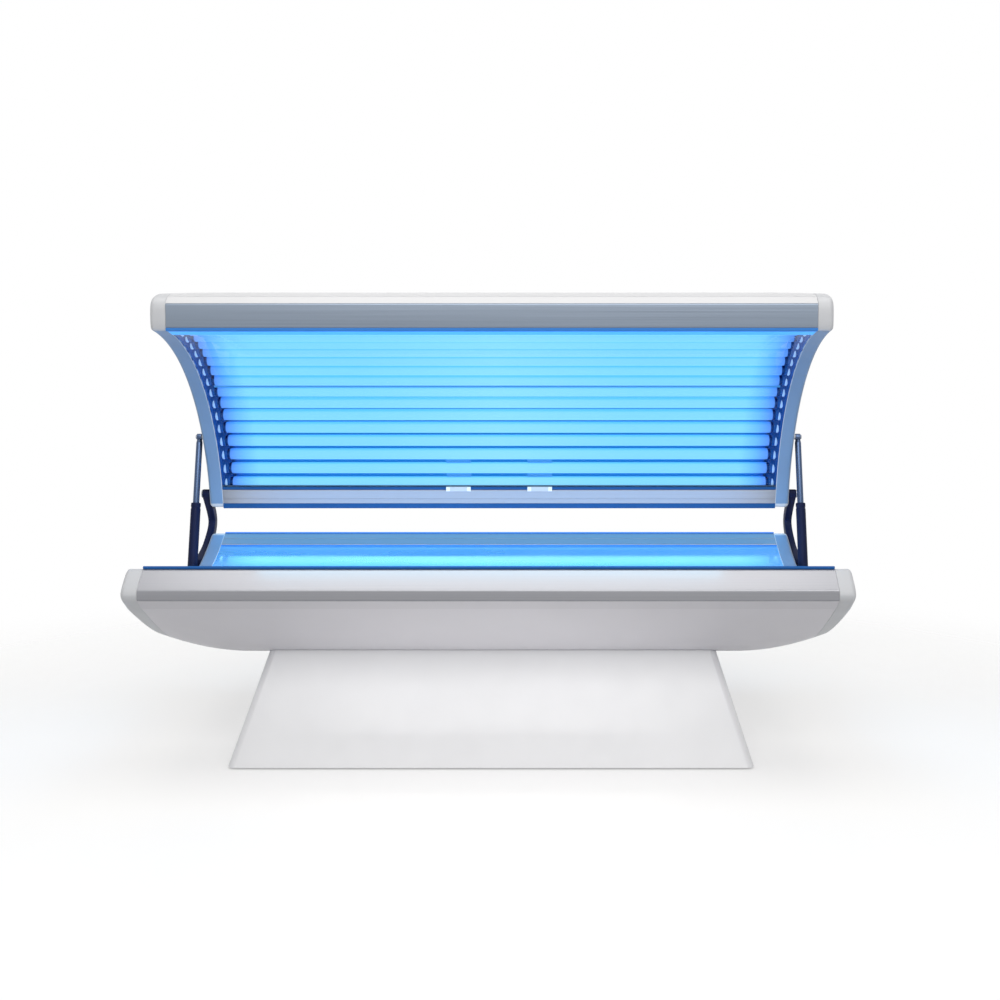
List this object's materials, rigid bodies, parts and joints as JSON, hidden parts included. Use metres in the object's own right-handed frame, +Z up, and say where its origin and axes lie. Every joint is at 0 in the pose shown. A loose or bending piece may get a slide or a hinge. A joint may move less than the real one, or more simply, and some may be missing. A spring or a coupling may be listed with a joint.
{
  "type": "clamshell tanning bed",
  "caption": "Tanning bed with a curved lamp bench on a tapered pedestal and a lamp canopy that swings open on rear hinge arms held by gas struts",
  "frame": {"origin": "on the floor, under the middle of the box of the bed with its canopy open", "axes": "+X along the bed, +Y from the front to the hinge side, +Z up"},
  "size_m": [2.06, 0.9962, 1.3709],
  "materials": {
    "white_panel": "semi-gloss white laminate",
    "end_plastic": "satin moulded, pale grey",
    "rail_aluminium": "satin anodised extrusion",
    "reflector_mirror": "bright rolled sheet",
    "clear_acrylic": "clear polished sheet",
    "lamp_glass": "lit phosphor-coated tube",
    "clip_plastic": "smooth white",
    "dark_paint": "satin dark grey paint",
    "rod_chrome": "polished hard chrome",
    "pin_steel": "zinc plated",
    "frame_steel": "grey primer",
    "black_plastic": "fine moulded texture",
    "red_plastic": "smooth",
    "foot_rubber": "matt"
  },
  "bodies": {
    "bench": {"pedestal_skirt": "white_panel", "base_frame": "frame_steel", "foot_front_left": "foot_rubber", "foot_front_right": "foot_rubber", "foot_rear_left": "foot_rubber", "foot_rear_right": "foot_rubber", "bench_belly_pan": "white_panel", "bench_front_rail": "rail_aluminium", "bench_rear_rail": "rail_aluminium", "bench_end_panel_left": "end_plastic", "bench_end_panel_right": "end_plastic", "bench_reflector": "reflector_mirror", "bench_acrylic": "clear_acrylic", "bench_lamp_01": "lamp_glass", "bench_lamp_02": "lamp_glass", "bench_lamp_03": "lamp_glass", "bench_lamp_04": "lamp_glass", "bench_lamp_05": "lamp_glass", "bench_lamp_06": "lamp_glass", "bench_lamp_07": "lamp_glass", "bench_lamp_08": "lamp_glass", "hinge_arm_left": "dark_paint", "hinge_arm_right": "dark_paint", "ballast_tray": "frame_steel", "fan_frame": "black_plastic", "power_inlet": "black_plastic"},
    "canopy": {"canopy_shell": "white_panel", "canopy_front_rail": "rail_aluminium", "canopy_rear_rail": "rail_aluminium", "canopy_end_panel_left": "end_plastic", "canopy_end_panel_right": "end_plastic", "canopy_reflector": "reflector_mirror", "canopy_acrylic": "clear_acrylic", "canopy_clip_left": "clip_plastic", "canopy_clip_right": "clip_plastic", "hinge_pin_left": "pin_steel", "hinge_pin_right": "pin_steel", "canopy_lamp_01": "lamp_glass", "canopy_lamp_02": "lamp_glass", "canopy_lamp_03": "lamp_glass", "canopy_lamp_04": "lamp_glass", "canopy_lamp_05": "lamp_glass", "canopy_lamp_06": "lamp_glass", "canopy_lamp_07": "lamp_glass", "canopy_lamp_08": "lamp_glass", "canopy_lamp_09": "lamp_glass", "canopy_lamp_10": "lamp_glass", "canopy_lamp_11": "lamp_glass", "canopy_lamp_12": "lamp_glass", "canopy_lamp_13": "lamp_glass", "canopy_lamp_14": "lamp_glass", "canopy_lamp_15": "lamp_glass", "canopy_lamp_16": "lamp_glass"},
    "strut_cylinder_left": {"strut_cylinder_left": "dark_paint"},
    "strut_rod_left": {"strut_rod_left": "rod_chrome"},
    "strut_cylinder_right": {"strut_cylinder_right": "dark_paint"},
    "strut_rod_right": {"strut_rod_right": "rod_chrome"},
    "fan_impeller": {"fan_impeller": "black_plastic"},
    "timer_knob": {"timer_knob": "black_plastic"},
    "start_button": {"start_button": "red_plastic"}
  },
  "joints": [
    {"name": "canopy_hinge", "type": "hinge", "parent": "bench", "child": "canopy", "pos_m": [0, 0.4009, 0.728], "axis": [1, 0, 0], "range_deg": [0, 42]},
    {"name": "strut_cylinder_left_pivot", "type": "hinge", "parent": "bench", "child": "strut_cylinder_left", "pos_m": [-1.014, 0.2359, 0.43], "axis": [1, 0, 0], "range_deg": [0, 14]},
    {"name": "strut_rod_left_pivot", "type": "hinge", "parent": "canopy", "child": "strut_rod_left", "pos_m": [-1.014, 0.33531, 0.92566], "axis": [1, 0, 0], "range_deg": [-28.2, 0]},
    {"name": "strut_cylinder_right_pivot", "type": "hinge", "parent": "bench", "child": "strut_cylinder_right", "pos_m": [1.014, 0.2359, 0.43], "axis": [1, 0, 0], "range_deg": [0, 14]},
    {"name": "strut_rod_right_pivot", "type": "hinge", "parent": "canopy", "child": "strut_rod_right", "pos_m": [1.014, 0.33531, 0.92566], "axis": [1, 0, 0], "range_deg": [-28.2, 0]},
    {"name": "fan_spin", "type": "hinge", "parent": "bench", "child": "fan_impeller", "pos_m": [0.48, -0.0141, 0.318], "axis": [0, 0, 1], "continuous": true},
    {"name": "timer_turn", "type": "hinge", "parent": "bench", "child": "timer_knob", "pos_m": [0.996, -0.3171, 0.475], "axis": [-1, 0, 0], "range_deg": [0, 300]},
    {"name": "start_button_press", "type": "slide", "parent": "bench", "child": "start_button", "axis": [-1, 0, 0], "range_m": [0, 0.004], "stiffness_N_per_m": 600}
  ],
  "couplings": [
    {"joint": "strut_cylinder_left_pivot", "follows": "canopy_hinge", "ratio": 0.332},
    {"joint": "strut_rod_left_pivot", "follows": "canopy_hinge", "ratio": -0.668},
    {"joint": "strut_cylinder_right_pivot", "follows": "canopy_hinge", "ratio": 0.332},
    {"joint": "strut_rod_right_pivot", "follows": "canopy_hinge", "ratio": -0.668}
  ]
}
